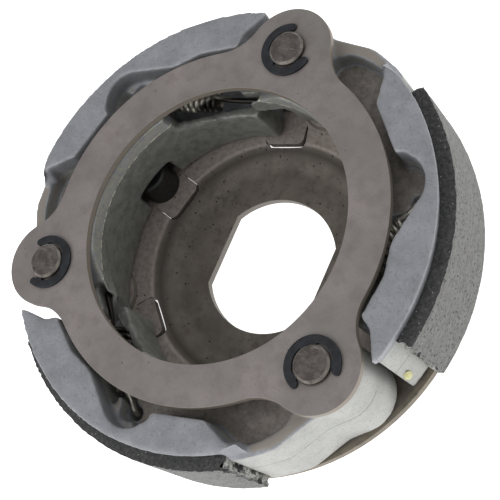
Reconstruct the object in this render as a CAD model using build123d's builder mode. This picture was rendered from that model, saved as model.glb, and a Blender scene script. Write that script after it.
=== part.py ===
from build123d import *
import math
import os

os.makedirs("parts", exist_ok=True)

# Driving sizes in millimetres and degrees
# The origin is the centre of the hub hole on the underside of the dished floor
# A turn runs clockwise from the pivot of shoe 1, which stands on +Y
shoe_count = 3
step = 360 / shoe_count
first_pivot = 90
pin_circle = 41.5
fit = 0.05
gap = 0.3

# Back plate
sheet = 2.0
dish_depth = 3.8
flange_radius = 50.2
dish_rim_radius = 29.8
dish_floor_radius = 24.6
dish_slope_shift = 1.1
rim_bend = 1.6
floor_bend = 5.0
hub_radius = 16.5
hub_flat = 14.0
pad_radius = 7.8
pad_rise = 0.8
pad_draft = 40
flange_top = dish_depth + sheet
pad_top = flange_top + pad_rise

# Lanced tongues of the back plate
tongue_root = 34.5
tongue_corner = 1.5
tongue_lift = 0.8
damper_tongue_turn = 45
damper_tongue_width = 10.4
damper_tongue_tip = 27.8
damper_tongue_slot = 0.1
tail_tongue_turn = 105
tail_tongue_width = 9.8
tail_tongue_tip = 29.0
tail_tongue_slot = 0.35

# Pivot pins, retaining ring plate and clips
journal_radius = 4.7
spigot_radius = 4.0
rivet_radius = 6.2
rivet_height = 1.6
ring_top = 32.5
ring_thick = 1.6
ring_bottom = ring_top - ring_thick
ring_inner = 31.4
ring_outer = 40.5
ear_radius = 10.1
ear_blend = 11.0
clip_thick = 0.7
clip_radius = 6.2
clip_recess = 4.5
clip_mouth = 5.2
clip_openings = (50, 180, 285)
groove_radius = 3.1
groove_top = ring_top + clip_thick + fit
pin_top = 34.0
pin_chamfer = 0.5

# Shoe casting, its outlines set back from the wall's radius
shoe_bottom = pad_top
floor_top = 24.0
wall_top = 28.2
boss_top = ring_bottom - gap
rim_top = boss_top
land_top = ring_top - gap
boss_radius = 8.6
wall_reach = 9.4
wall_radius = pin_circle + wall_reach
land_step = 0.5
land_radius = wall_radius - land_step
seat_depth = 1.7
seat_radius = wall_radius - seat_depth
seat_start = 31
wall_start = 19.5
crown_outline = ((0.9, 1.7), (2.15, 8.6))
tail_turn = 110
tail_outline = ((2.4, 107.8), (5.95, 103.0), (9.2, 101.5))
foot_start = -5.5
rim_thick = 3.4
rim_start = 2
rim_end = 69.5
land_start = 27.3
ramp_run = 2.2
ramp_width = 3.3

# Inner face, which leans from a wide circle at the foot to an upright one near the top
lean_radius = 29.3
lean_shift = 5.4
lean_turn = 30
pivot_lean_radius = 31.6
pivot_lean_shift = 4.5
pivot_lean_turn = -30
upright_radius = 29.1
upright_shift = 2.2
upright_turn = 40
upright_bottom = 27.3
clear_radius = 28.5

# Nose of the pivot end, which takes the spring of the shoe before it
nose_first = -22.5
nose_last = 13
nose_outer = 35.4
nose_bottom = 21.8
nose_edge = ((-6.0, 21.8), (-3.7, 22.5), (0.0, 24.1), (4.2, 26.4), (6.8, 27.4))
nose_crest = ((1.4, 30.6), (-1.6, 29.0), (-6.6, 26.7), (-14.5, 26.0))

# Spring channel in the tail
channel_bottom = 15.0
channel_inner = 33.2
channel_outer = 41.2
channel_head = 42.8
channel_start = 67
channel_end = 112
tail_middle = 85
slope_heights = ((-9.2, 31.0), (-8.6, 26.0), (-7.0, 23.6), (-4.4, 22.0), (0.0, 20.4),
                 (5.2, 19.7), (12.5, 19.4))

# Friction lining of each shoe, from its first to its last turn
lining_thick = 3.55
lining_radius = seat_radius + lining_thick
lining_bottom = 7.1
lining_top = 27.9
lining_spans = ((36, 102), (32, 103), (31.5, 104))

# Rubber dampers
damper_radius = 4.6
damper_top = 13.9
damper_circle = 36.5
damper_peg = 2.2
damper_chamfer = 0.5
cavity_radius = 5.7
cavity_top = 14.6

# Return springs
wire = 1.4
wire_sides = 6
coil_radius = 2.3
coil_pitch = 1.5
coil_turns = 9
coil_sides = 12
coil_from = 6.0
lead_in = 2.6
spring_height = 24.2
spring_start = (43.7, 64.1)
spring_end = (32.0, 107.7)
hook_bend = 1.2
hook_drop = 4.0
hook_hole = 1.6
eye_radius = 4.2
eye_hole = 2.3
eye_top = 27.0
slot_width = 2.0
slot_bottom = spring_height - wire / 2 - gap
lead_run = 4.5
nose_run = 9.0


# Point at a radius and a turn
def spot(radius, turn):
    angle = math.radians(first_pivot - turn)
    return (radius * math.cos(angle), radius * math.sin(angle))


# Upright plane through the hub's axis at a turn
def radial_plane(turn):
    return Plane(origin=(0, 0, 0), x_dir=(*spot(1, turn), 0), z_dir=(*spot(1, turn + 90), 0))


# Part of a ring between two turns
def arc_band(inner_radius, outer_radius, first, last):
    middle = (first + last) / 2
    with BuildSketch() as shape:
        with BuildLine():
            outside = ThreePointArc(spot(outer_radius, first), spot(outer_radius, middle),
                                    spot(outer_radius, last))
            inside = ThreePointArc(spot(inner_radius, last), spot(inner_radius, middle),
                                   spot(inner_radius, first))
            Line(outside @ 1, inside @ 0)
            Line(inside @ 1, outside @ 0)
        make_face()
    return shape.sketch


# Points of an outline given by their depths behind the wall's radius and their turns
def set_back(outline):
    return [spot(wall_radius - depth, turn) for depth, turn in outline]


# Outline of the whole shoe at its foot
def foot_shape():
    with BuildSketch() as shape:
        with BuildLine():
            crown = Line(*set_back(crown_outline))
            flat = Line(crown @ 1, spot(wall_radius, wall_start))
            outer = ThreePointArc(flat @ 1, spot(wall_radius, 60), spot(wall_radius, tail_turn))
            end = Polyline(outer @ 1, *set_back(tail_outline), spot(36.0, 103.3), spot(34.0, 103.8))
            tip = ThreePointArc(end @ 1, spot(31.3, 103.2), spot(clear_radius, 98))
            inner = ThreePointArc(tip @ 1, spot(clear_radius, 48), spot(clear_radius, foot_start))
            Polyline(inner @ 1, (-3.3, 35.4), (-8.3, 40.0), (0, pin_circle), crown @ 0)
        make_face()
    return shape.sketch


# Raised land with the window that shows the hook of the spring
def land_shape():
    with BuildSketch() as shape:
        with BuildLine():
            end = Line((25.0, 34.8), spot(wall_radius, land_start))
            outer = ThreePointArc(end @ 1, spot(wall_radius, 70), spot(wall_radius, tail_turn))
            tail = Polyline(outer @ 1, *set_back(tail_outline), (42.0, 0.7), (40.6, 7.8))
            side = Line(tail @ 1, (42.6, 18.4))
            head = ThreePointArc(side @ 1, (41.6, 23.0), (38.6, 25.5))
            Polyline(head @ 1, (35.4, 26.3), (33.7, 25.6), end @ 0)
        make_face()
        window_corner = shape.vertices().sort_by_distance((40.6, 7.8))[0]
        fillet(window_corner, 2.0)
        tail_corner = shape.vertices().sort_by_distance((43.8, -10.1))[0]
        fillet(tail_corner, 2.5)
    return shape.sketch


# Thin wall round the pivot end
def wall_shape():
    with BuildSketch() as shape:
        with BuildLine():
            crown = Line(*set_back(crown_outline))
            flat = Line(crown @ 1, spot(wall_radius, wall_start))
            outer = ThreePointArc(flat @ 1, spot(wall_radius, 23), spot(wall_radius, land_start + 0.6))
            face = Line(outer @ 1, (24.7, 41.5))
            inner = ThreePointArc(face @ 1, (18.8, 44.4), (12.4, 45.4))
            Polyline(inner @ 1, (9.4, 43.8), (8.4, pin_circle), (0, pin_circle), crown @ 0)
        make_face()
    return shape.sketch


# Upright part of the inner face in plan
def upright_circle():
    with BuildSketch() as shape:
        with Locations(spot(upright_shift, upright_turn)):
            Circle(upright_radius)
    return shape.sketch


# Nose in plan, rounded at its inner tip
def nose_shape():
    with BuildSketch() as shape:
        with BuildLine():
            outside = ThreePointArc(spot(nose_outer, nose_last), spot(nose_outer, 0),
                                    spot(nose_outer, nose_first))
            end = Line(outside @ 1, spot(32.4, -18.5))
            tip = ThreePointArc(end @ 1, spot(31.0, -16.4), spot(30.2, -12.5))
            foot = Line(tip @ 1, spot(clear_radius, foot_start))
            inside = ThreePointArc(foot @ 1, spot(clear_radius, 0), spot(clear_radius, nose_last))
            Line(inside @ 1, outside @ 0)
        make_face()
        add(upright_circle(), mode=Mode.SUBTRACT)
    return shape.sketch


# One piece for each shoe, turned about the hub and saved
def save_round(piece, name):
    for number in range(shoe_count):
        turned = piece.rotate(Axis.Z, step * number)
        turned.label = f"{name}_{number + 1}"
        export_step(turned, f"parts/{turned.label}.step")


# Pressed back plate with its dished floor
with BuildPart() as back_plate:
    with BuildSketch(Plane.XZ):
        with BuildLine():
            Polyline((flange_radius, flange_top), (dish_rim_radius, flange_top),
                     (dish_floor_radius, sheet), (hub_flat - 1, sheet), (hub_flat - 1, 0),
                     (dish_floor_radius + dish_slope_shift, 0),
                     (dish_rim_radius + dish_slope_shift, dish_depth),
                     (flange_radius, dish_depth), close=True)
        make_face()
    revolve(axis=Axis.Z)
    for low, bend in ((dish_floor_radius, floor_bend), (dish_rim_radius, rim_bend)):
        bends = back_plate.edges().filter_by(GeomType.CIRCLE).filter_by(
            lambda edge: low - 0.1 < edge.radius < low + dish_slope_shift + 0.1)
        fillet(bends, bend)
    with BuildSketch():
        Circle(hub_radius)
        Rectangle(2 * hub_flat, 2 * hub_radius, mode=Mode.INTERSECT)
    extrude(amount=sheet, mode=Mode.SUBTRACT)
    with BuildSketch(Plane.XY.offset(dish_depth)):
        with PolarLocations(pin_circle, shoe_count, start_angle=first_pivot):
            Circle(pad_radius - pad_rise)
    extrude(amount=pad_rise, mode=Mode.SUBTRACT)
    with BuildSketch(Plane.XY.offset(flange_top)):
        with PolarLocations(pin_circle, shoe_count, start_angle=first_pivot):
            Circle(pad_radius)
    extrude(amount=pad_rise, taper=pad_draft)
    with BuildSketch():
        with PolarLocations(pin_circle, shoe_count, start_angle=first_pivot):
            Circle(journal_radius)
    extrude(amount=pad_top, mode=Mode.SUBTRACT)
    for turn, width, tip, slot in ((damper_tongue_turn, damper_tongue_width, damper_tongue_tip,
                                    damper_tongue_slot),
                                   (tail_tongue_turn, tail_tongue_width, tail_tongue_tip,
                                    tail_tongue_slot)):
        reach = tongue_root - tip + slot
        with BuildSketch() as slots:
            with PolarLocations(tongue_root - reach / 2, shoe_count, start_angle=first_pivot - turn):
                Rectangle(reach, width + 2 * slot)
            fillet(slots.vertices(), tongue_corner)
        extrude(amount=pad_top, mode=Mode.SUBTRACT)
    tongue_middle = (damper_tongue_tip + tongue_root) / 2
    with BuildSketch(Plane.XY.offset(dish_depth)) as tongues:
        with PolarLocations(tongue_middle, shoe_count, start_angle=first_pivot - damper_tongue_turn):
            Rectangle(tongue_root - damper_tongue_tip, damper_tongue_width)
        tips = tongues.vertices().filter_by(lambda corner: math.hypot(corner.X, corner.Y) < tongue_middle)
        fillet(tips, tongue_corner)
    extrude(amount=sheet)
    with BuildSketch(Plane.XY.offset(dish_depth)):
        with PolarLocations(damper_circle, shoe_count, start_angle=first_pivot - damper_tongue_turn):
            Circle(damper_peg)
    extrude(amount=sheet, mode=Mode.SUBTRACT)

# Tongue under each tail, lifted at its free end
with BuildPart() as tail_tongue:
    with BuildSketch(Plane.XZ):
        with BuildLine():
            Polyline((tongue_root, dish_depth), (tongue_root, flange_top),
                     (tail_tongue_tip, flange_top + tongue_lift),
                     (tail_tongue_tip, dish_depth + tongue_lift),
                     close=True)
        make_face()
    extrude(amount=tail_tongue_width / 2, both=True)
    tips = tail_tongue.edges().group_by(Axis.X)[0].sort_by(Axis.Y)
    fillet([tips[0], tips[-1]], tongue_corner)

with BuildPart() as whole_plate:
    add(back_plate.part)
    for number in range(shoe_count):
        add(tail_tongue.part, rotation=(0, 0, first_pivot - tail_tongue_turn + step * number))
whole_plate.part.label = "back_plate"
export_step(whole_plate.part, "parts/back_plate.step")

# Pivot pin with its rivet head, journal, spigot and clip groove
with BuildPart() as pivot_pin:
    head_top = dish_depth + pad_rise
    with BuildSketch(Plane.XZ):
        with BuildLine():
            Polyline((0, head_top - rivet_height), (rivet_radius, head_top - rivet_height),
                     (rivet_radius, head_top),
                     (journal_radius, head_top), (journal_radius, ring_bottom),
                     (spigot_radius, ring_bottom), (spigot_radius, ring_top),
                     (groove_radius, ring_top), (groove_radius, groove_top),
                     (spigot_radius, groove_top), (spigot_radius, pin_top - pin_chamfer),
                     (spigot_radius - pin_chamfer, pin_top), (0, pin_top), close=True)
        make_face()
    revolve(axis=Axis.Z)
with BuildPart() as placed_pin:
    with Locations((0, pin_circle, 0)):
        add(pivot_pin.part)
save_round(placed_pin.part, "pivot_pin")

# Retaining ring plate with three ears
with BuildPart() as retaining_ring_plate:
    with BuildSketch(Plane.XY.offset(ring_bottom)) as ring_outline:
        Circle(ring_outer)
        with PolarLocations(pin_circle, shoe_count, start_angle=first_pivot):
            Circle(ear_radius)
        fillet(ring_outline.vertices(), ear_blend)
        Circle(ring_inner, mode=Mode.SUBTRACT)
        with PolarLocations(pin_circle, shoe_count, start_angle=first_pivot):
            Circle(spigot_radius + fit, mode=Mode.SUBTRACT)
    extrude(amount=ring_thick)
retaining_ring_plate.part.label = "retaining_ring_plate"
export_step(retaining_ring_plate.part, "parts/retaining_ring_plate.step")

# Clip on each pin, open towards its own side
for number, opening in enumerate(clip_openings):
    with BuildPart() as e_clip:
        with BuildSketch(Plane.XY.offset(ring_top)):
            Circle(clip_radius)
            Circle(clip_recess, mode=Mode.SUBTRACT)
            with BuildLine():
                Polyline((0, 0), (-9, 5), (-9, -5), close=True)
            make_face()
            for side in (-1, 1):
                with BuildLine():
                    Polyline((0, 0), (5.2, 3.0 * side), (4.0, 5.0 * side), close=True)
                make_face()
            Circle(clip_radius, mode=Mode.INTERSECT)
            Circle(groove_radius, mode=Mode.SUBTRACT)
            with Locations((clip_radius, 0)):
                Rectangle(2 * clip_radius, clip_mouth, mode=Mode.SUBTRACT)
        extrude(amount=clip_thick)
    with BuildPart() as placed_clip:
        with Locations(spot(pin_circle, -step * number)):
            add(e_clip.part, rotation=(0, 0, opening))
    placed_clip.part.label = f"e_clip_{number + 1}"
    export_step(placed_clip.part, f"parts/e_clip_{number + 1}.step")

# Rubber damper standing on its tongue, with a peg through the plate
with BuildPart() as damper_rubber:
    with BuildSketch(Plane.XY.offset(flange_top)):
        with Locations(spot(damper_circle, damper_tongue_turn)):
            Circle(damper_radius)
    extrude(amount=damper_top - flange_top)
    chamfer(damper_rubber.edges().group_by(Axis.Z)[-1], damper_chamfer)
    with BuildSketch(Plane.XY.offset(dish_depth)):
        with Locations(spot(damper_circle, damper_tongue_turn)):
            Circle(damper_peg)
    extrude(amount=sheet)
save_round(damper_rubber.part, "damper_rubber")

# Straight line of a spring in plan, from the tail's hook to the nose of the next shoe
hook_point = Vector(*spot(*spring_start), spring_height)
nose_point = Vector(*spot(*spring_end), spring_height)
spring_along = (nose_point - hook_point).normalized()
spring_angle = math.degrees(math.atan2(spring_along.Y, spring_along.X))
down = Vector(0, 0, -1)

# Bend from the spring's line down into a hook, as points from its side to its foot
def hook_bends(corner, way):
    centre = corner + (way + down) * hook_bend
    bends = []
    for turn in (0, 30, 60, 90):
        angle = math.radians(turn)
        bends.append(centre - (down * math.cos(angle) + way * math.sin(angle)) * hook_bend)
    return bends + [corner + down * hook_drop]


# Return spring with a hook bent down at each end, its coil and wire both many-sided
coil_side = spring_along.cross(down)
with BuildPart() as return_spring:
    with BuildLine() as spring_line:
        coil_start = hook_point + spring_along * coil_from
        coil_end = coil_start + spring_along * coil_pitch * coil_turns
        path = list(reversed(hook_bends(hook_point, spring_along)))
        path.append(coil_start - spring_along * lead_in)
        for count in range(coil_turns * coil_sides + 1):
            angle = 2 * math.pi * count / coil_sides
            around = (coil_side * math.sin(angle) - down * math.cos(angle)) * coil_radius
            path.append(coil_start + spring_along * coil_pitch * count / coil_sides + around)
        path.append(coil_end + spring_along * lead_in)
        path.extend(hook_bends(nose_point, -spring_along))
        Polyline(*path)
    with BuildSketch(Plane(origin=path[0], z_dir=-down)):
        RegularPolygon(wire / 2, wire_sides)
    sweep(path=spring_line.wires()[0], transition=Transition.RIGHT)
save_round(return_spring.part, "return_spring")

# Nose of the shoe, its crest falling from the rim and its lower edge rising to the inner face
with BuildPart() as nose:
    with BuildSketch(Plane.XY.offset(nose_bottom)):
        add(nose_shape())
    extrude(amount=boss_top - nose_bottom)
    with BuildSketch(Plane.XZ):
        with BuildLine():
            edge = Spline(*nose_edge)
            crest = Spline(*nose_crest)
            Polyline(edge @ 1, (nose_edge[-1][0], boss_top), crest @ 0)
            Polyline(crest @ 1, (nose_crest[-1][0], nose_bottom), edge @ 0)
        make_face()
    extrude(amount=-pin_circle, mode=Mode.INTERSECT)

# Shoe casting
with BuildPart() as shoe:
    with BuildSketch(Plane.XY.offset(shoe_bottom)):
        add(foot_shape())
    extrude(amount=floor_top - shoe_bottom)
    with BuildSketch(Plane.XY.offset(floor_top)):
        add(land_shape())
    extrude(amount=land_top - floor_top)
    with BuildSketch(Plane.XY.offset(floor_top)):
        add(wall_shape())
    extrude(amount=wall_top - floor_top)
    with BuildSketch(Plane.XY.offset(floor_top)):
        add(arc_band(clear_radius, upright_radius + upright_shift + rim_thick, rim_start, rim_end))
    extrude(amount=rim_top - floor_top)
    with BuildSketch(Plane.XY.offset(shoe_bottom)):
        with Locations((0, pin_circle)):
            Circle(boss_radius)
    extrude(amount=boss_top - shoe_bottom)
    with BuildSketch(Plane.XY.offset(floor_top)):
        with Locations(Location((hook_point.X, hook_point.Y, 0), (0, 0, spring_angle))):
            Circle(eye_radius)
            Circle(eye_hole, mode=Mode.SUBTRACT)
            Rectangle(2 * eye_radius, eye_radius, align=(Align.CENTER, Align.MAX), mode=Mode.SUBTRACT)
    extrude(amount=eye_top - floor_top)
    # Ramp from the thin wall up to the land
    ramp_way = Vector(25.0, 34.8).sub(Vector(*spot(wall_radius, land_start))).normalized()
    ramp_foot = Vector(*spot(wall_radius, land_start)) + ramp_way * ramp_width
    with BuildSketch(Plane(origin=ramp_foot, x_dir=(ramp_way.Y, -ramp_way.X, 0), z_dir=-ramp_way)):
        with BuildLine():
            Polyline((0, floor_top), (ramp_run, wall_top), (0, land_top), (-gap, land_top),
                     (-gap, floor_top), close=True)
        make_face()
    extrude(amount=ramp_width)
    # Seat of the lining and the sloping lip above it
    past_tail = tail_turn + 4
    with BuildSketch(radial_plane(past_tail)):
        with BuildLine():
            Polyline((seat_radius, shoe_bottom - 1), (seat_radius, lining_top),
                     (land_radius, land_top), (land_radius, land_top + 1),
                     (wall_radius + 2, land_top + 1), (wall_radius + 2, shoe_bottom - 1), close=True)
        make_face()
    revolve(axis=Axis.Z, revolution_arc=past_tail - seat_start, mode=Mode.SUBTRACT)
    # Inner face, and the nose that stands in front of its leaning part
    for shift, turn, radius in ((lean_shift, lean_turn, lean_radius),
                                (pivot_lean_shift, pivot_lean_turn, pivot_lean_radius)):
        with BuildSketch(Plane.XY.offset(shoe_bottom - 1)):
            with Locations(spot(shift, turn)):
                Circle(radius)
        with BuildSketch(Plane.XY.offset(upright_bottom)):
            add(upright_circle())
        loft(mode=Mode.SUBTRACT)
    with BuildSketch(Plane.XY.offset(upright_bottom)):
        add(upright_circle())
    extrude(amount=land_top - upright_bottom, mode=Mode.SUBTRACT)
    add(nose.part)
    # Bore for the pin
    with BuildSketch(Plane.XY.offset(shoe_bottom)):
        with Locations((0, pin_circle)):
            Circle(journal_radius + fit)
    extrude(amount=boss_top - shoe_bottom, mode=Mode.SUBTRACT)
    # Spring channel and the falling top edge of the wall beside it
    with BuildSketch(Plane.XY.offset(channel_bottom)):
        add(arc_band(channel_inner, channel_outer, channel_start, channel_end))
        add(arc_band(channel_inner, channel_head, channel_start, channel_start + 9))
    extrude(amount=floor_top - channel_bottom, mode=Mode.SUBTRACT)
    slope_face = Plane(origin=(*spot(channel_inner + 2, tail_middle), 0),
                       x_dir=(*spot(1, tail_middle + 90), 0), z_dir=(*spot(-1, tail_middle), 0))
    with BuildSketch(slope_face):
        with BuildLine():
            slope = Spline(*slope_heights)
            Polyline(slope @ 1, (slope_heights[-1][0], land_top), (slope_heights[0][0], land_top),
                     slope @ 0)
        make_face()
    extrude(amount=channel_inner + 2 - clear_radius, mode=Mode.SUBTRACT)
    # Cavity over the damper, open to the inner face
    with BuildSketch(Plane.XY.offset(shoe_bottom)):
        with Locations(spot(damper_circle + gap, damper_tongue_turn)):
            Circle(cavity_radius)
        with PolarLocations((damper_circle + gap) / 2, 1, start_angle=first_pivot - damper_tongue_turn):
            Rectangle(damper_circle + gap, 2 * cavity_radius)
    extrude(amount=cavity_top - shoe_bottom, mode=Mode.SUBTRACT)
    # Hole and groove for the hook in the window, and for the one in the nose
    with BuildSketch(Plane.XY.offset(hook_point.Z - hook_drop - gap)):
        with Locations((hook_point.X, hook_point.Y)):
            Circle(hook_hole)
    extrude(amount=land_top - hook_point.Z, mode=Mode.SUBTRACT)
    arriving = nose_point.rotate(Axis.Z, step)
    with BuildSketch(Plane.XY.offset(nose_bottom - 1)):
        with Locations((arriving.X, arriving.Y)):
            Circle(slot_width / 2)
    extrude(amount=eye_top - nose_bottom + 1, mode=Mode.SUBTRACT)
    with BuildSketch(Plane.XY.offset(slot_bottom)):
        with Locations(Location((hook_point.X, hook_point.Y, 0), (0, 0, spring_angle))):
            Rectangle(lead_run, slot_width, align=(Align.MIN, Align.CENTER))
        with Locations(Location((arriving.X, arriving.Y, 0), (0, 0, spring_angle + step))):
            Rectangle(nose_run, slot_width, align=(Align.MAX, Align.CENTER))
    extrude(amount=eye_top - slot_bottom, mode=Mode.SUBTRACT)
save_round(shoe.part, "shoe")

# Friction lining bonded to its seat
for number, (first, last) in enumerate(lining_spans):
    with BuildPart() as friction_lining:
        with BuildSketch(Plane.XY.offset(lining_bottom)):
            add(arc_band(seat_radius, lining_radius, first - step * number, last - step * number))
        extrude(amount=lining_top - lining_bottom)
    friction_lining.part.label = f"friction_lining_{number + 1}"
    export_step(friction_lining.part, f"parts/friction_lining_{number + 1}.step")
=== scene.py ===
import bpy
import math
from mathutils import Matrix, Vector, noise


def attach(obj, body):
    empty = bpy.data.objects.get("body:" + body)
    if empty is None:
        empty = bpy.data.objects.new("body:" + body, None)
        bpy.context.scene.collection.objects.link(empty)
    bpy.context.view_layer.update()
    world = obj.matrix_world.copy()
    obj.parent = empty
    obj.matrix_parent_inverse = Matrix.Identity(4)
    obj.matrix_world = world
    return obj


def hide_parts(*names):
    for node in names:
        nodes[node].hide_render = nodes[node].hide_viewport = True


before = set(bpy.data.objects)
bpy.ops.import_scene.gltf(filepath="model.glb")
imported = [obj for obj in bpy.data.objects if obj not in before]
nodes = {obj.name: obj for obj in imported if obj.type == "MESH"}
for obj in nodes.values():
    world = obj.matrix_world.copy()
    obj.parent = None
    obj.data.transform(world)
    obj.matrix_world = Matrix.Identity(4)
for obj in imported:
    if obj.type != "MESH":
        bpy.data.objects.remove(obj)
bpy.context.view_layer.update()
bpy.ops.object.select_all(action="DESELECT")

# The pieces' own values are millimetres and degrees, and those of floor, lamps and camera are metres
mm = 0.001
print("stage: frame loaded with", len(nodes), "nodes")


# sRGB hex to the linear colour that the shaders work with
def colour(hexText):
    parts = [int(hexText[i:i + 2], 16) / 255 for i in (1, 3, 5)]
    return tuple(p / 12.92 if p <= 0.04045 else ((p + 0.055) / 1.055) ** 2.4 for p in parts) + (1.0,)


# Texture scale for a feature of so many millimetres
def grain(size):
    return 1 / (size * mm)


# One node with its links or values and its settings
def addNode(tree, kind, inputs=None, **settings):
    node = tree.nodes.new(kind)
    for name, value in settings.items():
        setattr(node, name, value)
    for socket, value in (inputs or {}).items():
        if isinstance(value, bpy.types.NodeSocket):
            tree.links.new(value, node.inputs[socket])
        else:
            node.inputs[socket].default_value = value
    return node


# Empty material with a Principled shader, its tree and its Object coordinates
def newMaterial(name):
    material = bpy.data.materials.new(name)
    material.use_nodes = True
    tree = material.node_tree
    shader = tree.nodes["Principled BSDF"]
    place = tree.nodes.new("ShaderNodeTexCoord").outputs["Object"]
    return material, tree, shader, place


# Colour and normal joined to the shader, with the roughness and metallic of its look
def finishShader(tree, shader, look, body, normal):
    tree.links.new(body, shader.inputs["Base Color"])
    tree.links.new(normal, shader.inputs["Normal"])
    shader.inputs["Roughness"].default_value = look["roughness"]
    shader.inputs["Metallic"].default_value = look["metallic"]


# Mask that is 1 on outer edges, and the normal rounded over them
def edgeMask(tree, width, low, high):
    rounded = addNode(tree, "ShaderNodeBevel", {"Radius": width * mm}, samples=6)
    flat = addNode(tree, "ShaderNodeNewGeometry")
    turn = addNode(tree, "ShaderNodeVectorMath", {0: rounded.outputs[0], 1: flat.outputs["Normal"]},
                   operation="DOT_PRODUCT")
    mask = addNode(tree, "ShaderNodeMapRange", {"Value": turn.outputs["Value"], "From Min": high,
                                                "From Max": low})
    return mask.outputs["Result"], rounded.outputs[0]


# Mask of blotches or specks of so many millimetres
def blotches(tree, place, size, low, high, detail=4.0):
    cloud = addNode(tree, "ShaderNodeTexNoise", {"Vector": place, "Scale": grain(size), "Detail": detail,
                                                 "Roughness": 0.6})
    mask = addNode(tree, "ShaderNodeMapRange", {"Value": cloud.outputs["Fac"], "From Min": low,
                                                "From Max": high})
    return mask.outputs["Result"]


# Where all the masks meet
def overlap(tree, *masks):
    joined = masks[0]
    for mask in masks[1:]:
        joined = addNode(tree, "ShaderNodeMath", {0: joined, 1: mask}, operation="MULTIPLY").outputs[0]
    return joined


# Mask of scattered round pits or grains, at most one in each cell of so many millimetres
def pits(tree, place, cell, radius, share):
    cells = addNode(tree, "ShaderNodeTexVoronoi", {"Vector": place, "Scale": grain(cell)})
    dots = addNode(tree, "ShaderNodeMapRange", {"Value": cells.outputs["Distance"],
                                                "From Min": radius / cell, "From Max": 0.4 * radius / cell})
    pick = addNode(tree, "ShaderNodeSeparateColor", {0: cells.outputs["Color"]})
    kept = addNode(tree, "ShaderNodeMath", {0: pick.outputs[0], 1: share}, operation="LESS_THAN")
    return overlap(tree, dots.outputs["Result"], kept.outputs[0])


# Mask of straight scratches that run at an angle, so many millimetres apart and drawn out twentyfold
def scratches(tree, place, angle, gap, low, high):
    along = addNode(tree, "ShaderNodeMapping", {"Vector": place, "Rotation": (0, 0, math.radians(angle)),
                                                "Scale": (0.05, 1.0, 1.0)})
    return blotches(tree, along.outputs[0], gap, low, high, 2.0)


# Mask of a zone about the hub's axis, between two radii and two heights in millimetres
def zone(tree, place, radii, heights, blur=0.15):
    parts = addNode(tree, "ShaderNodeSeparateXYZ", {"Vector": place})
    flat = addNode(tree, "ShaderNodeCombineXYZ", {"X": parts.outputs["X"], "Y": parts.outputs["Y"]})
    reach = addNode(tree, "ShaderNodeVectorMath", {0: flat.outputs[0]}, operation="LENGTH")
    mask = None
    for value, limits in ((reach.outputs["Value"], radii), (parts.outputs["Z"], heights)):
        for edge, way in ((limits[0], 1), (limits[1], -1)):
            step = addNode(tree, "ShaderNodeMapRange", {
                "Value": value, "From Min": (edge - way * blur) * mm, "From Max": (edge + way * blur) * mm})
            mask = overlap(tree, mask, step.outputs["Result"]) if mask else step.outputs["Result"]
    return mask


# Mask of the faces that look up, or with the least and most turned round, of the upright ones
def facingUp(tree, least, most):
    face = addNode(tree, "ShaderNodeNewGeometry")
    parts = addNode(tree, "ShaderNodeSeparateXYZ", {"Vector": face.outputs["Normal"]})
    mask = addNode(tree, "ShaderNodeMapRange", {"Value": parts.outputs["Z"], "From Min": least,
                                                "From Max": most})
    return mask.outputs["Result"]


# Body colour with coats laid over it in turn, each where its masks meet
def coats(tree, body, layers):
    for tint, *masks in layers:
        mix = addNode(tree, "ShaderNodeMix", {0: overlap(tree, *masks), 6: body, 7: colour(tint)},
                      data_type="RGBA")
        body = mix.outputs[2]
    return body


# Grit in the surface, as bumps of so many millimetres, coarser than the real grit so that it shows
def gritty(tree, place, size, depth, strength, normal=None):
    grit = addNode(tree, "ShaderNodeTexNoise", {"Vector": place, "Scale": grain(size), "Detail": 4.0})
    bump = addNode(tree, "ShaderNodeBump", {"Height": grit.outputs["Fac"], "Strength": strength,
                                            "Distance": depth * mm})
    if normal:
        tree.links.new(normal, bump.inputs["Normal"])
    return bump.outputs["Normal"]


# In the looks below a zone holds its radii, its heights and its blur, and pits hold cell, radius and share
pressedSteelLook = {
    "base": "#69625a",
    "mottle": "#7e776f",
    "flange": "#aaa09a",
    "flangeMottle": "#8f857e",
    "rimShade": "#4d4740",
    "rim": "#8c8373",
    "darkTone": "#4a443d",
    "pit": "#12110f",
    "cutEdge": "#87817a",
    "worn": "#a29b93",
    "flangeZone": ((20, 37.5), (5.5, 8.0), 0.2),
    "rimShadeZone": ((18, 40), (3.9, 5.2), 0.6),
    "rimZone": ((49, 60), (0, 9), 0.3),
    "cutEdgeZone": ((12, 16.65), (0.1, 1.9), 0.1),
    "largePits": (1.8, 0.32, 0.35),
    "smallPits": (0.8, 0.2, 0.4),
    "roughness": 0.62,
    "metallic": 0.25,
}
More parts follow.
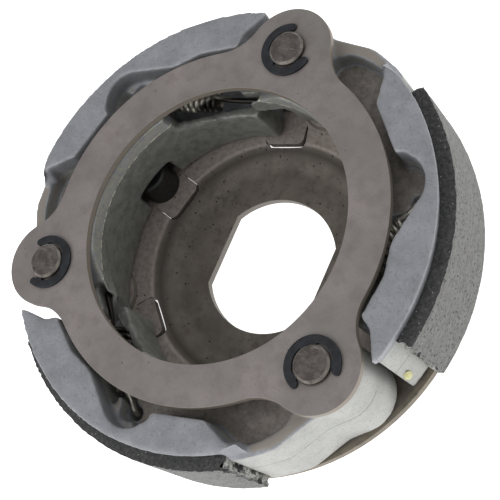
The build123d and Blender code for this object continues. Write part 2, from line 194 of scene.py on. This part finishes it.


# Pressed and phosphated steel: brown grey and satin, with black pits, worn paler on the flange's up-facing
# faces and painted lighter there as painted light, with a painted shade just under the flange's rim
def pressedSteel():
    look = pressedSteelLook
    material, tree, shader, place = newMaterial("PhosphatedPressedSteel")
    worn, rounded = edgeMask(tree, 0.25, 0.72, 0.95)
    rubbedAndLitFlange = zone(tree, place, *look["flangeZone"])
    level = facingUp(tree, 0.7, 0.95)
    body = coats(tree, colour(look["base"]), (
        (look["mottle"], blotches(tree, place, 5.0, 0.35, 0.7, 8.0)),
        (look["darkTone"], blotches(tree, place, 1.6, 0.5, 0.75, 6.0), blotches(tree, place, 14.0, 0.35, 0.6)),
        (look["rimShade"], zone(tree, place, *look["rimShadeZone"])),
        # Paler coat on the flange's up-facing faces: partly worn steel, partly painted light standing in for
        # the light that falls on the flange and its tongues
        (look["flange"], rubbedAndLitFlange, level),
        (look["flangeMottle"], rubbedAndLitFlange, level, blotches(tree, place, 1.2, 0.42, 0.68, 7.0)),
        (look["rim"], zone(tree, place, *look["rimZone"]), blotches(tree, place, 3.0, 0.3, 0.6, 6.0)),
        (look["pit"], pits(tree, place, *look["largePits"])),
        (look["pit"], pits(tree, place, *look["smallPits"]), blotches(tree, place, 9.0, 0.45, 0.6)),
        (look["cutEdge"], zone(tree, place, *look["cutEdgeZone"])),
        (look["worn"], worn, blotches(tree, place, 1.0, 0.3, 0.6))))
    finishShader(tree, shader, look, body, gritty(tree, place, 0.4, 0.08, 0.4, rounded))
    return material


ringSteelLook = {
    "base": "#86807d",
    "mottle": "#968e8c",
    "grain": "#7b7372",
    "film": "#83817a",
    "speck": "#4d4846",
    "cutEdge": "#b9aa90",
    "rim": "#8d8479",
    "worn": "#aca398",
    "cutEdgeZone": ((30, 31.8), (30, 32.3), 0.1),
    "specks": (3.2, 0.24, 0.25),
    "roughness": 0.5,
    "metallic": 0.3,
}


# Blanked and tumbled steel: warm pinkish grey satin, even and fine grained, with a light cut edge
def ringSteel():
    look = ringSteelLook
    material, tree, shader, place = newMaterial("TumbledBlankedSteel")
    worn, rounded = edgeMask(tree, 0.25, 0.72, 0.95)
    body = coats(tree, colour(look["base"]), (
        (look["mottle"], blotches(tree, place, 16.0, 0.35, 0.65, 6.0)),
        (look["film"], blotches(tree, place, 40.0, 0.5, 0.8, 2.0)),
        (look["grain"], blotches(tree, place, 3.5, 0.45, 0.8, 8.0)),
        (look["grain"], blotches(tree, place, 0.5, 0.5, 0.95, 3.0)),
        (look["speck"], pits(tree, place, *look["specks"])),
        (look["cutEdge"], zone(tree, place, *look["cutEdgeZone"])),
        (look["rim"], facingUp(tree, 0.6, 0.2)),
        (look["worn"], worn)))
    finishShader(tree, shader, look, body, gritty(tree, place, 0.5, 0.05, 0.35, rounded))
    return material


castAluminiumLook = {
    "base": "#8b8d92",
    "mottle": "#a0a2a8",
    "darkGrain": "#6f7174",
    "lightGrain": "#bcbec1",
    "pocket": "#8f8881",
    "pocketStain": "#6b645d",
    "crown": "#928c85",
    "inner": "#888a84",
    "innerStain": "#686a65",
    "band": "#a5a497",
    "scratch": "#efecd8",
    "wall": "#b3b4b0",
    "wallStain": "#a2a39f",
    "worn": "#cfd1cf",
    "partingLine": "#55554f",
    "innerRadii": (20, 35.2),
    "bandRadii": (20, 31.9),
    "bandTop": 33,
    "scratchRadii": (20, 32.0),
    "scratchHeight": 27.15,
    "scratchWidth": 0.32,
    "partingRadii": (48.6, 60),
    "partingHeight": 18.8,
    "partingWidth": 0.2,
    "wallZone": ((40, 60), (6, 27.6)),
    "pocketZone": ((30, 60), (23.5, 24.5)),
    "crownZone": ((36, 60), (26.0, 29.6), 0.6),
    "roughness": 0.5,
    "metallic": 0.3,
}


# Die-cast aluminium: light blue grey, fine grained, brighter where it rubs, with a painted highlight on its
# convex edges and its outer walls painted lighter partly as painted light, stained in the pockets
def castAluminium():
    look = castAluminiumLook
    material, tree, shader, place = newMaterial("DieCastAluminium")
    shape = addNode(tree, "ShaderNodeNewGeometry")
    # Convex edges by pointiness, painted near white further down: partly rubbed bare metal, partly a painted
    # highlight along the edges
    worn = addNode(tree, "ShaderNodeMapRange", {"Value": shape.outputs["Pointiness"], "From Min": 0.53,
                                                "From Max": 0.6}).outputs["Result"]
    line, halfLine = look["scratchHeight"], look["scratchWidth"] / 2
    parting, halfParting = look["partingHeight"], look["partingWidth"] / 2
    inside = zone(tree, place, look["innerRadii"], (0, line), 0.2)
    band = zone(tree, place, look["bandRadii"], (line, look["bandTop"]), 0.1)
    rubLine = zone(tree, place, look["scratchRadii"], (line - halfLine, line + halfLine), 0.12)
    outside = zone(tree, place, *look["wallZone"])
    upright = facingUp(tree, 0.4, 0.1)
    pocketFloor = zone(tree, place, *look["pocketZone"])
    level = facingUp(tree, 0.8, 0.95)
    patches = blotches(tree, place, 2.2, 0.4, 0.7, 7.0)
    partingLine = zone(tree, place, look["partingRadii"],
                       (parting - halfParting, parting + halfParting), 0.08)
    body = coats(tree, colour(look["base"]), (
        (look["mottle"], blotches(tree, place, 5.0, 0.35, 0.7, 8.0)),
        (look["pocket"], pocketFloor, level),
        (look["pocketStain"], pocketFloor, level, patches),
        # Outer upright walls painted near white: partly a paler cast skin, partly painted light standing in
        # for the light that falls on them
        (look["wall"], outside, upright),
        (look["wallStain"], outside, upright, blotches(tree, place, 6.0, 0.4, 0.7, 7.0)),
        (look["partingLine"], partingLine, upright, blotches(tree, place, 5.0, 0.3, 0.5)),
        (look["inner"], inside),
        (look["innerStain"], inside, patches),
        (look["band"], band, blotches(tree, place, 1.2, 0.35, 0.6, 6.0)),
        (look["darkGrain"], blotches(tree, place, 0.55, 0.54, 0.85, 3.0)),
        (look["lightGrain"], blotches(tree, place, 0.45, 0.6, 0.95, 3.0)),
        (look["crown"], zone(tree, place, *look["crownZone"]), level),
        # Painted highlight on the convex edges, partly also rubbed bare metal
        (look["worn"], worn, blotches(tree, place, 1.3, 0.25, 0.6)),
        (look["scratch"], rubLine, blotches(tree, place, 1.6, 0.45, 0.55, 5.0))))
    finishShader(tree, shader, look, body, gritty(tree, place, 0.6, 0.1, 0.5))
    return material


frictionLook = {
    "base": "#434344",
    "mottle": "#666665",
    "face": "#81817f",
    "streak": "#6c6c6a",
    "end": "#b1b1ac",
    "endGrain": "#5d5d5a",
    "darkGrain": "#2b2b2c",
    "lightGrain": "#a8a7a2",
    "faceZone": ((52.25, 60), (0, 40), 0.1),
    "endZone": ((40, 52.25), (0, 40), 0.1),
    "lightGrains": (0.8, 0.17, 0.2),
    "streakRadius": 14,
    "roughness": 0.85,
    "metallic": 0.0,
}


# Moulded friction compound: dark grey resin with mineral grains, paler and streaked where it was ground
def frictionCompound():
    look = frictionLook
    material, tree, shader, place = newMaterial("MouldedFrictionCompound")
    parts = addNode(tree, "ShaderNodeSeparateXYZ", {"Vector": place})
    angle = addNode(tree, "ShaderNodeMath", {0: parts.outputs["Y"], 1: parts.outputs["X"]},
                    operation="ARCTAN2")
    # Arc length about the hub shortened, so that the grain draws out into streaks round the face
    drawn = addNode(tree, "ShaderNodeMath", {0: angle.outputs[0], 1: look["streakRadius"] * mm},
                    operation="MULTIPLY")
    wrapped = addNode(tree, "ShaderNodeCombineXYZ", {"X": drawn.outputs[0], "Z": parts.outputs["Z"]})
    upright = facingUp(tree, 0.6, 0.3)
    face = overlap(tree, zone(tree, place, *look["faceZone"]), upright)
    end = overlap(tree, zone(tree, place, *look["endZone"]), upright)
    body = coats(tree, colour(look["base"]), (
        (look["mottle"], blotches(tree, place, 0.9, 0.45, 0.8, 6.0)),
        (look["face"], face),
        (look["streak"], face, blotches(tree, wrapped.outputs[0], 0.8, 0.45, 0.66, 5.0)),
        (look["end"], end),
        (look["endGrain"], end, blotches(tree, place, 0.9, 0.48, 0.65, 5.0)),
        (look["darkGrain"], blotches(tree, place, 0.6, 0.54, 0.66, 5.0)),
        (look["lightGrain"], pits(tree, place, *look["lightGrains"]))))
    finishShader(tree, shader, look, body, gritty(tree, place, 0.7, 0.25, 0.7))
    return material


pinSteelLook = {
    "base": "#514b48",
    "light": "#716a66",
    "scratch": "#a8a29c",
    "worn": "#8f8981",
    "chamferZone": ((30, 60), (33.3, 33.97), 0.04),
    "roughness": 0.45,
    "metallic": 0.45,
}


# Turned pin steel: dark and scratched on its end, bright on the chamfer, partly bare turned steel and partly
# a painted highlight
def pinSteel():
    look = pinSteelLook
    material, tree, shader, place = newMaterial("TurnedPinSteel")
    worn, rounded = edgeMask(tree, 0.2, 0.75, 0.95)
    chamfer = zone(tree, place, *look["chamferZone"])
    body = coats(tree, colour(look["base"]), (
        (look["light"], blotches(tree, place, 1.5, 0.4, 0.7, 6.0)),
        (look["scratch"], scratches(tree, place, 35, 0.25, 0.66, 0.74)),
        (look["scratch"], scratches(tree, place, -50, 0.3, 0.68, 0.76)),
        # Chamfer painted bright in patches: partly bare turned steel, partly a painted highlight
        (look["worn"], chamfer, facingUp(tree, 0.97, 0.9), blotches(tree, place, 2.0, 0.35, 0.6)),
        (look["worn"], worn, blotches(tree, place, 2.0, 0.35, 0.6))))
    finishShader(tree, shader, look, body, gritty(tree, place, 0.4, 0.03, 0.25, rounded))
    return material


clipSteelLook = {
    "base": "#24262a",
    "mottle": "#33363b",
    "worn": "#63666b",
    "roughness": 0.4,
    "metallic": 0.4,
}


# Blued spring steel of the clips: dark blue grey, smooth, with paler edges
def clipSteel():
    look = clipSteelLook
    material, tree, shader, place = newMaterial("BluedSpringSteel")
    worn, rounded = edgeMask(tree, 0.12, 0.75, 0.95)
    body = coats(tree, colour(look["base"]), (
        (look["mottle"], blotches(tree, place, 2.0, 0.4, 0.7, 5.0)),
        (look["worn"], worn)))
    finishShader(tree, shader, look, body, gritty(tree, place, 0.4, 0.02, 0.15, rounded))
    return material


springWireLook = {
    "base": "#8c887f",
    "light": "#c4c0b6",
    "film": "#57524a",
    "darkTone": "#1f1d19",
    "paintedShadeZone": ((20, 33.0), (0, 40), 0.3),
    "roughness": 0.3,
    "metallic": 0.7,
}


# Drawn spring wire: bright grey with a brownish film, and painted near black as painted shade where it runs
# inside the dish
def springWire():
    look = springWireLook
    material, tree, shader, place = newMaterial("DrawnSpringWire")
    body = coats(tree, colour(look["base"]), (
        (look["light"], blotches(tree, place, 1.2, 0.4, 0.65, 5.0)),
        (look["film"], blotches(tree, place, 0.5, 0.6, 0.72, 3.0)),
        # Painted shade: the wire near the nose end, inside the dish, painted near black
        (look["darkTone"], zone(tree, place, *look["paintedShadeZone"]))))
    finishShader(tree, shader, look, body, gritty(tree, place, 0.3, 0.02, 0.2))
    return material


blackRubberLook = {"base": "#121314", "dust": "#343637", "roughness": 0.33, "metallic": 0.0}


# Black moulded rubber, a little shiny, with grey dust
def blackRubber():
    look = blackRubberLook
    material, tree, shader, place = newMaterial("MouldedBlackRubber")
    body = coats(tree, colour(look["base"]), ((look["dust"], blotches(tree, place, 1.0, 0.5, 0.8, 5.0)),))
    finishShader(tree, shader, look, body, gritty(tree, place, 0.5, 0.03, 0.3))
    return material


driedGlueLook = {"base": "#c9c583", "light": "#e2dfae", "roughness": 0.45, "metallic": 0.0}


# Bonding glue, squeezed out and yellowed: waxy and uneven
def driedGlue():
    look = driedGlueLook
    material, tree, shader, place = newMaterial("DriedBondingGlue")
    body = coats(tree, colour(look["base"]), ((look["light"], blotches(tree, place, 0.7, 0.4, 0.7, 4.0)),))
    finishShader(tree, shader, look, body, gritty(tree, place, 0.4, 0.1, 0.4))
    return material


finishes = {
    "back_plate": pressedSteel(),
    "retaining_ring_plate": ringSteel(),
    "shoe": castAluminium(),
    "friction_lining": frictionCompound(),
    "pivot_pin": pinSteel(),
    "e_clip": clipSteel(),
    "return_spring": springWire(),
    "damper_rubber": blackRubber(),
    "glue": driedGlue(),
}
for name, node in nodes.items():
    kind = next(key for key in finishes if name.startswith(key))
    node.data.materials.clear()
    node.data.materials.append(finishes[kind])
print("stage: finishes set")

shoeNumbers = (1, 2, 3)
pivotTurn = 90
shoeStep = 120


# Point at a radius in millimetres and a turn that runs clockwise from a shoe's pivot
def spot(radius, turn, height, number=1):
    angle = math.radians(pivotTurn + shoeStep * (number - 1) - turn)
    return Vector((radius * math.cos(angle), radius * math.sin(angle), height)) * mm


# Sets a finished piece on its body, in place of its node
def seat(piece, name, kind, body, replaced):
    piece.name = name
    piece.data.name = name
    piece.data.materials.clear()
    piece.data.materials.append(finishes[kind])
    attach(piece, body)
    if replaced:
        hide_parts(replaced)


castingSet = {
    "join": 0.005,
    "voxel": 0.5,
    "softness": 0.5,
    "passes": 9,
    "landReach": 50.4,
    "cornerTurns": (22.0, 27.0, 34.0),
    "cornerHeights": (27.8, 31.5),
    "cornerDip": 1.7,
    "seatReach": 49.2,
    "seatHeight": 27.6,
    "tailEnd": 108.9,
    "tailRound": 1.4,
    "tailFrom": 44,
    "tailTill": 130,
}


# Copy of a node's mesh, joined up and remade in small faces with its edges rounded
def roundedCopy(nodeName):
    look = castingSet
    mesh = nodes[nodeName].data.copy()
    piece = bpy.data.objects.new(nodeName, mesh)
    bpy.context.scene.collection.objects.link(piece)
    bpy.ops.object.select_all(action="DESELECT")
    piece.select_set(True)
    bpy.context.view_layer.objects.active = piece
    bpy.ops.object.mode_set(mode="EDIT")
    bpy.ops.mesh.select_all(action="SELECT")
    bpy.ops.mesh.remove_doubles(threshold=look["join"] * mm)
    bpy.ops.object.mode_set(mode="OBJECT")
    remade = piece.modifiers.new("remade", "REMESH")
    remade.mode = "VOXEL"
    remade.voxel_size = look["voxel"] * mm
    soft = piece.modifiers.new("soft", "SMOOTH")
    soft.factor = look["softness"]
    soft.iterations = look["passes"]
    for step in ("remade", "soft"):
        bpy.ops.object.modifier_apply(modifier=step)
    bpy.ops.object.shade_smooth()
    return piece


# The same piece turned round the hub, with its own mesh
def turnedCopy(piece, number):
    mesh = piece.data.copy()
    mesh.transform(Matrix.Rotation(math.radians(shoeStep * (number - 1)), 4, "Z"))
    twin = bpy.data.objects.new(piece.name, mesh)
    bpy.context.scene.collection.objects.link(twin)
    return twin


# Land's start eased down into the crown: the dip is deepest a little way in and fades downwards
def easeLand(corner, reach, turn, z):
    look = castingSet
    begin, deepest, end = look["cornerTurns"]
    low, high = look["cornerHeights"]
    if begin < turn < end and z > low:
        dip = (turn - begin) / (deepest - begin) if turn < deepest else (end - turn) / (end - deepest)
        dip *= look["cornerDip"] * min(1, (z - low) / (high - low))
        corner.co = spot(min(reach, look["landReach"] - dip), turn, z)


# Tail's tip blunted: what lies past the round is drawn back onto it
def bluntTail(corner, reach, turn, z):
    look = castingSet
    blunt = look["tailRound"]
    tipTurn = look["tailEnd"] - math.degrees(blunt / look["landReach"])
    if tipTurn < turn < look["tailTill"] and reach > look["tailFrom"]:
        tipReach = look["landReach" if z > look["seatHeight"] else "seatReach"] - blunt
        along = math.radians(turn - tipTurn) * tipReach
        out = max(0, reach - tipReach)
        over = math.hypot(along, out) / blunt
        if over > 1:
            corner.co = spot(min(reach, tipReach + out / over),
                             tipTurn + math.degrees(along / over / tipReach), z)


# Shoe casting: the first one is rounded and shaped, and the others are turned copies of it
casting = roundedCopy("shoe_1")
for corner in casting.data.vertices:
    x, y, z = corner.co / mm
    reach = math.hypot(x, y)
    turn = (pivotTurn - math.degrees(math.atan2(y, x))) % 360
    easeLand(corner, reach, turn, z)
    bluntTail(corner, reach, turn, z)
for number in shoeNumbers[1:]:
    seat(turnedCopy(casting, number), f"shoe_casting_{number}", "shoe", f"shoe_body_{number}",
         f"shoe_{number}")
seat(casting, "shoe_casting_1", "shoe", "shoe_body_1", "shoe_1")
print("stage: shoe castings made,", len(casting.data.polygons), "faces each")

clipSet = {
    "pinCircle": 41.5,
    "outer": 6.2,
    "inner": 4.5,
    "prong": 3.5,
    "bottom": 32.5,
    "thick": 0.7,
    "edge": 0.1,
    "join": 0.01,
    "faces": (108, 6),
    "halfMouth": 50,
    "openings": (42, 198, 306),
    "backProng": 24,
    "tipProng": (12, 34),
    "prongEase": 4,
}


# Spring clip: a flat arc with round ends and three prongs that reach under the pin's head
def makeClip(number):
    look = clipSet
    bpy.ops.object.select_all(action="DESELECT")
    bpy.ops.mesh.primitive_grid_add(x_subdivisions=look["faces"][0], y_subdivisions=look["faces"][1], size=1)
    piece = bpy.context.object
    centre = spot(look["pinCircle"], 0, look["bottom"], number)
    sweep = 360 - 2 * look["halfMouth"]
    near, far = look["tipProng"]
    ease = look["prongEase"]
    for corner in piece.data.vertices:
        share = corner.co.x + 0.5
        angle = look["openings"][number - 1] + look["halfMouth"] + sweep * share
        fromBack = abs(share - 0.5) * sweep
        fromTip = sweep / 2 - fromBack
        atBack = min(1, (look["backProng"] - fromBack) / ease)
        atTip = min(1, (fromTip - near) / ease, (far - fromTip) / ease)
        prong = max(atBack, atTip, 0)
        inner = look["inner"] - (look["inner"] - look["prong"]) * prong
        half = (look["outer"] - inner) / 2
        run = math.radians(fromTip) * look["outer"]
        narrow = math.sqrt(1 - (1 - run / half) ** 2) if run < half else 1
        reach = (look["outer"] + inner) / 2 + 2 * half * corner.co.y * narrow
        outward = Vector((math.cos(math.radians(angle)), math.sin(math.radians(angle)), 0))
        corner.co = centre + outward * reach * mm
    bpy.ops.object.mode_set(mode="EDIT")
    bpy.ops.mesh.select_all(action="SELECT")
    bpy.ops.mesh.remove_doubles(threshold=look["join"] * mm)
    bpy.ops.mesh.extrude_region_move(TRANSFORM_OT_translate={"value": (0, 0, look["thick"] * mm)})
    bpy.ops.mesh.select_all(action="SELECT")
    bpy.ops.mesh.normals_make_consistent(inside=False)
    bpy.ops.object.mode_set(mode="OBJECT")
    edge = piece.modifiers.new("edge", "BEVEL")
    edge.width = look["edge"] * mm
    edge.segments = 2
    edge.limit_method = "ANGLE"
    edge.angle_limit = math.radians(50)
    bpy.ops.object.modifier_apply(modifier="edge")
    bpy.ops.object.shade_smooth_by_angle(angle=math.radians(35))
    seat(piece, f"snap_clip_{number}", "e_clip", "plate", f"e_clip_{number}")


for number in shoeNumbers:
    makeClip(number)
print("stage: clips made")

liningSet = {
    "inner": 49.2,
    "outer": 52.75,
    "bottom": 7.1,
    "top": 27.9,
    "spans": ((36.0, 102.0), (32.0, 103.0), (31.5, 104.0)),
    "cell": 0.75,
    "join": 0.01,
    "endChips": (0.7, 0.9, 1.1),
    "endBand": 2.2,
    "edgeChips": (0.22, 0.03, 0.22),
    "edgeBand": 1.5,
    "skin": 0.1,
    "pitDepth": 0.08,
    "crumbs": (0.9, 2.3, 0.35),
}


# Friction lining: a section spun round the hub, then crumbled at its ends and edges
def makeLining(number):
    look = liningSet
    first, last = look["spans"][number - 1]
    thick, tall = look["outer"] - look["inner"], look["top"] - look["bottom"]
    middle = (look["inner"] + look["outer"]) / 2
    bpy.ops.object.select_all(action="DESELECT")
    bpy.ops.mesh.primitive_grid_add(x_subdivisions=round(thick / look["cell"]),
                                    y_subdivisions=round(tall / look["cell"]), size=1)
    piece = bpy.context.object
    heading = math.radians(pivotTurn + shoeStep * (number - 1) - first)
    for corner in piece.data.vertices:
        reach = middle + corner.co.x * thick
        corner.co = Vector((reach * math.cos(heading), reach * math.sin(heading),
                            look["bottom"] + (corner.co.y + 0.5) * tall)) * mm
    bpy.ops.object.mode_set(mode="EDIT")
    bpy.ops.mesh.select_all(action="SELECT")
    sweep = math.radians(last - first)
    bpy.ops.mesh.spin(steps=round(sweep * look["outer"] / look["cell"]), angle=sweep,
                      center=(0, 0, 0), axis=(0, 0, 1))
    bpy.ops.mesh.select_all(action="SELECT")
    bpy.ops.mesh.remove_doubles(threshold=look["join"] * mm)
    bpy.ops.mesh.select_all(action="DESELECT")
    bpy.ops.mesh.select_non_manifold()
    bpy.ops.mesh.fill_holes(sides=0)
    bpy.ops.mesh.select_all(action="SELECT")
    bpy.ops.mesh.normals_make_consistent(inside=False)
    bpy.ops.object.mode_set(mode="OBJECT")
    fine, finest, broad = look["crumbs"]
    for corner in piece.data.vertices:
        here = corner.co / mm
        x, y, z = here
        reach = math.hypot(x, y)
        turn = (pivotTurn + shoeStep * (number - 1) - math.degrees(math.atan2(y, x))) % 360
        along = math.radians(min(turn - first, last - turn)) * reach
        rough = noise.noise(here * fine) + 0.6 * noise.noise(here * finest)
        coarse = noise.noise(here * broad + Vector((7, 3, 1)) * number)
        fromFace, fromTop = look["outer"] - reach, look["top"] - z
        nearEdge = max(0.0, 1 - fromFace / look["edgeBand"]) + max(0.0, 1 - fromTop / look["edgeBand"])
        depth = look["endChips"][number - 1] * (0.25 + max(0.0, 1.5 * rough + coarse + 0.1 + 0.5 * nearEdge))
        pull = depth * max(0.0, 1 - along / look["endBand"])
        way = 1 if turn - first < last - turn else -1
        turn += way * math.degrees(pull / reach)
        onFace = fromFace < look["skin"]
        if onFace:
            reach -= look["pitDepth"] * max(0.0, 0.4 + rough)
        fromFace = look["outer"] - reach
        if (onFace or fromTop < look["skin"]) and fromFace < 0.6 and fromTop < 0.4:
            chip = look["edgeChips"][number - 1] * max(0.0, 0.3 + rough)
            reach -= chip
            z -= chip
        corner.co = spot(reach, turn, z, number)
    bpy.ops.object.shade_smooth_by_angle(angle=math.radians(28))
    seat(piece, f"chipped_lining_{number}", "friction_lining", f"shoe_body_{number}",
         f"friction_lining_{number}")


for number in shoeNumbers:
    makeLining(number)
print("stage: linings made")

springSet = {
    "wire": 1.4,
    "coilRadius": 2.3,
    "pitch": 1.5,
    "turns": 9,
    "coilFrom": 6.0,
    "leadIn": 2.6,
    "height": 24.2,
    "start": (43.7, 64.1),
    "end": (32.0, 107.7),
    "hookBend": 1.2,
    "hookDrop": 4.0,
    "hookPoints": 6,
    "turnPoints": 24,
}


# Return spring: one smooth wire that rises from its hook, winds the coil and drops into the other hook
def makeSpring():
    look = springSet
    hook = spot(*look["start"], look["height"]) / mm
    nose = spot(*look["end"], look["height"]) / mm
    along = (nose - hook).normalized()
    down = Vector((0, 0, -1))
    side = along.cross(down)
    coilStart = hook + along * look["coilFrom"]
    points = []
    for corner, way in ((hook, along), (nose, -along)):
        bend = [corner + down * look["hookDrop"]]
        for step in range(look["hookPoints"], -1, -1):
            angle = math.radians(90 / look["hookPoints"] * step)
            bend.append(corner + (way + down) * look["hookBend"]
                        - (down * math.cos(angle) + way * math.sin(angle)) * look["hookBend"])
        points.append(bend)
    coil = []
    for count in range(look["turns"] * look["turnPoints"] + 1):
        angle = 2 * math.pi * count / look["turnPoints"]
        around = (side * math.sin(angle) - down * math.cos(angle)) * look["coilRadius"]
        coil.append(coilStart + along * look["pitch"] * count / look["turnPoints"] + around)
    coilEnd = coilStart + along * look["pitch"] * look["turns"]
    route = (points[0] + [coilStart - along * look["leadIn"]] + coil + [coilEnd + along * look["leadIn"]]
             + list(reversed(points[1])))
    bpy.ops.object.select_all(action="DESELECT")
    bpy.ops.curve.primitive_nurbs_path_add()
    piece = bpy.context.object
    line = piece.data.splines[0]
    line.points.add(len(route) - len(line.points))
    for point, place in zip(line.points, route):
        point.co = (*(place * mm), 1)
    line.order_u = 3
    line.use_endpoint_u = True
    line.resolution_u = 2
    piece.data.bevel_depth = look["wire"] / 2 * mm
    piece.data.bevel_resolution = 3
    piece.data.use_fill_caps = True
    bpy.ops.object.convert(target="MESH")
    piece = bpy.context.object
    bpy.ops.object.shade_smooth_by_angle(angle=math.radians(50))
    return piece


spring = makeSpring()
for number in shoeNumbers[1:]:
    seat(turnedCopy(spring, number), f"coiled_spring_{number}", "return_spring", f"shoe_body_{number}",
         f"return_spring_{number}")
seat(spring, "coiled_spring_1", "return_spring", "shoe_body_1", "return_spring_1")
print("stage: springs made")

glueSet = {
    "place": (47.2, -13.9, 13.4),
    "size": (0.5, 1.0, 1.9),
    "lean": -17,
    "lumpDepth": 0.35,
    "lumpiness": 1.7,
}


# Bead of glue squeezed out past the first lining's end
def makeGlue():
    look = glueSet
    bpy.ops.object.select_all(action="DESELECT")
    bpy.ops.mesh.primitive_ico_sphere_add(subdivisions=4, radius=1)
    piece = bpy.context.object
    lean = Matrix.Rotation(math.radians(look["lean"]), 3, "Z")
    for corner in piece.data.vertices:
        lumps = 1 + look["lumpDepth"] * noise.noise(corner.co * look["lumpiness"] + Vector((4, 2, 9)))
        shape = Vector([corner.co[way] * look["size"][way] * lumps for way in range(3)])
        corner.co = (Vector(look["place"]) + lean @ shape) * mm
    bpy.ops.object.shade_smooth()
    seat(piece, "glue_bead", "glue", "shoe_body_1", None)


makeGlue()
print("stage: glue made")

stageLook = {
    "floorSize": 3.0,
    "floorTint": "#f4f4f4",
    "glow": 0.95,
    "floorDrop": 0.0001,
    "worldLevel": 0.45,
    "aim": (0, 0, 0.02),
}

# Plain pale floor with a little light of its own, as in a light tent
bpy.ops.object.select_all(action="DESELECT")
bpy.ops.mesh.primitive_plane_add(size=stageLook["floorSize"], location=(0, 0, -stageLook["floorDrop"]))
floor = bpy.context.object
floor.name = "floor"
floorPaper, _, shader, _ = newMaterial("PalePaper")
shader.inputs["Base Color"].default_value = colour(stageLook["floorTint"])
shader.inputs["Roughness"].default_value = 0.9
shader.inputs["Emission Color"].default_value = (1, 1, 1, 1)
shader.inputs["Emission Strength"].default_value = stageLook["glow"]
floor.data.materials.append(floorPaper)

world = bpy.data.worlds.new("tent")
world.use_nodes = True
glow = world.node_tree.nodes["Background"]
glow.inputs["Color"].default_value = (1, 1, 1, 1)
glow.inputs["Strength"].default_value = stageLook["worldLevel"]
bpy.context.scene.world = world

lamps = {
    "key": {"place": (-0.25, -0.70, 0.80), "size": 1.0, "power": 5.0},
    "fill": {"place": (0.20, 0.60, 0.90), "size": 1.0, "power": 2.0},
}
for name, lamp in lamps.items():
    light = bpy.data.lights.new(name, "AREA")
    light.size = lamp["size"]
    light.energy = lamp["power"]
    holder = bpy.data.objects.new(name, light)
    holder.location = lamp["place"]
    holder.rotation_euler = (Vector(stageLook["aim"]) - holder.location).to_track_quat("-Z", "Y").to_euler()
    bpy.context.scene.collection.objects.link(holder)

cameraSet = {
    "place": (0.14865, -0.03976, 0.25483),
    "turn": (20.8084, 25.5573, 26.3686),
    "lens": 90.954,
    "sensor": 36.0,
}
lens = bpy.data.cameras.new("camera")
lens.lens = cameraSet["lens"]
lens.sensor_width = cameraSet["sensor"]
lens.clip_start = 0.01
camera = bpy.data.objects.new("camera", lens)
camera.location = cameraSet["place"]
camera.rotation_euler = [math.radians(angle) for angle in cameraSet["turn"]]
bpy.context.scene.collection.objects.link(camera)
bpy.context.scene.camera = camera
bpy.context.scene.view_settings.view_transform = "Standard"
print("stage: floor, light and camera set")
